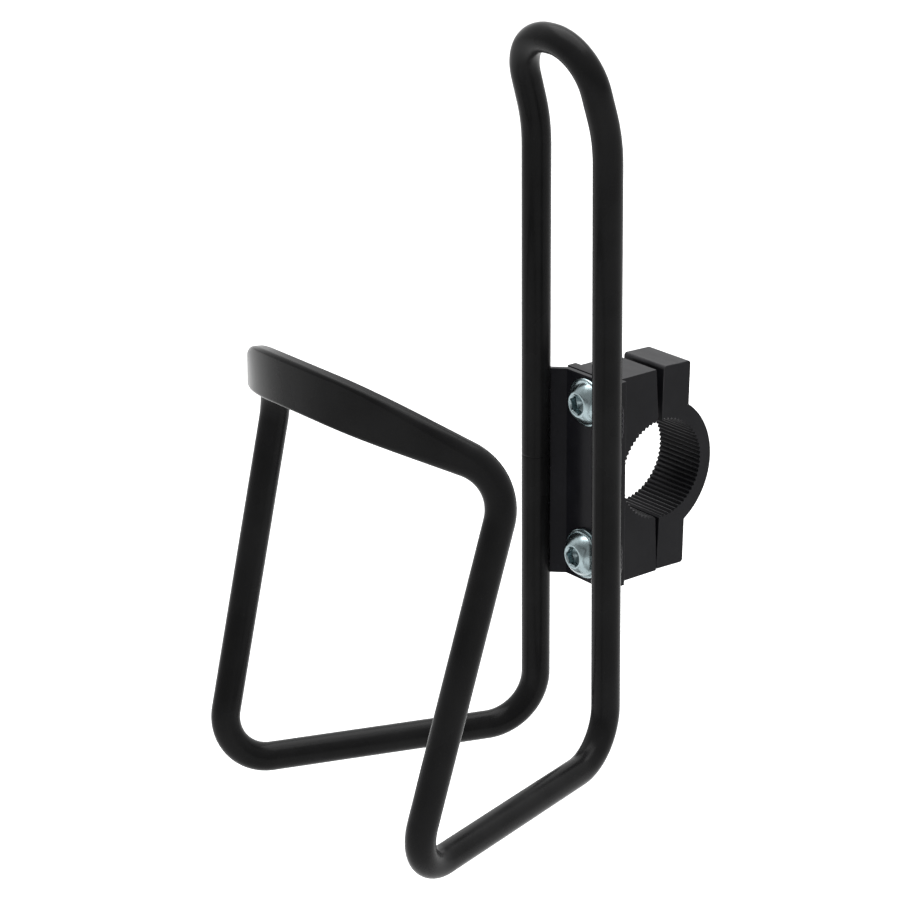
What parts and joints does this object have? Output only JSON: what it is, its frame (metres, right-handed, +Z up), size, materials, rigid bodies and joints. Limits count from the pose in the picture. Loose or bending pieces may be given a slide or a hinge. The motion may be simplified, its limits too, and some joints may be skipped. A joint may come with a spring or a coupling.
{
  "type": "water bottle cage with handlebar clamp",
  "caption": "Bent-tube water bottle cage with a flat front band, a sheet mounting plate and a two-piece bolted clamp for a handlebar.",
  "frame": {"origin": "centre of the clamp bore, midway across the clamp", "axes": "+X along the handlebar, -Y from the clamp towards the bottle, +Z up along the uprights"},
  "size_m": [0.0888, 0.115, 0.176],
  "materials": {
    "tube_paint": "gloss black paint on aluminium tube",
    "plate_paint": "gloss black paint on steel sheet",
    "clamp_plastic": "satin black glass-filled nylon",
    "zinc_steel": "bright zinc plating"
  },
  "bodies": {
    "frame": {"cage_tube": "tube_paint", "mount_plate": "plate_paint", "weld_beads": "plate_paint", "clamp_block": "clamp_plastic", "washer_lower": "zinc_steel"},
    "cap": {"clamp_cap": "clamp_plastic", "nut_upper": "zinc_steel", "nut_lower": "zinc_steel"},
    "upper_bolt": {"bolt_upper": "zinc_steel"},
    "lower_bolt": {"bolt_lower": "zinc_steel"}
  },
  "joints": [
    {"name": "cap_slide", "type": "slide", "parent": "frame", "child": "cap", "axis": [0, 1, 0], "range_m": [0, 0.003]},
    {"name": "bolt_upper_turn", "type": "hinge", "parent": "frame", "child": "upper_bolt", "pos_m": [0, -0.0171, 0.0184], "axis": [0, -1, 0], "range_deg": [0, 1080]},
    {"name": "bolt_lower_turn", "type": "hinge", "parent": "frame", "child": "lower_bolt", "pos_m": [0, -0.0181, -0.019], "axis": [0, -1, 0], "range_deg": [0, 1080]}
  ],
  "couplings": [
    {"joint": "bolt_upper_turn", "follows": "cap_slide", "rad_per_m": 6283.2},
    {"joint": "bolt_lower_turn", "follows": "cap_slide", "rad_per_m": 6283.2}
  ]
}
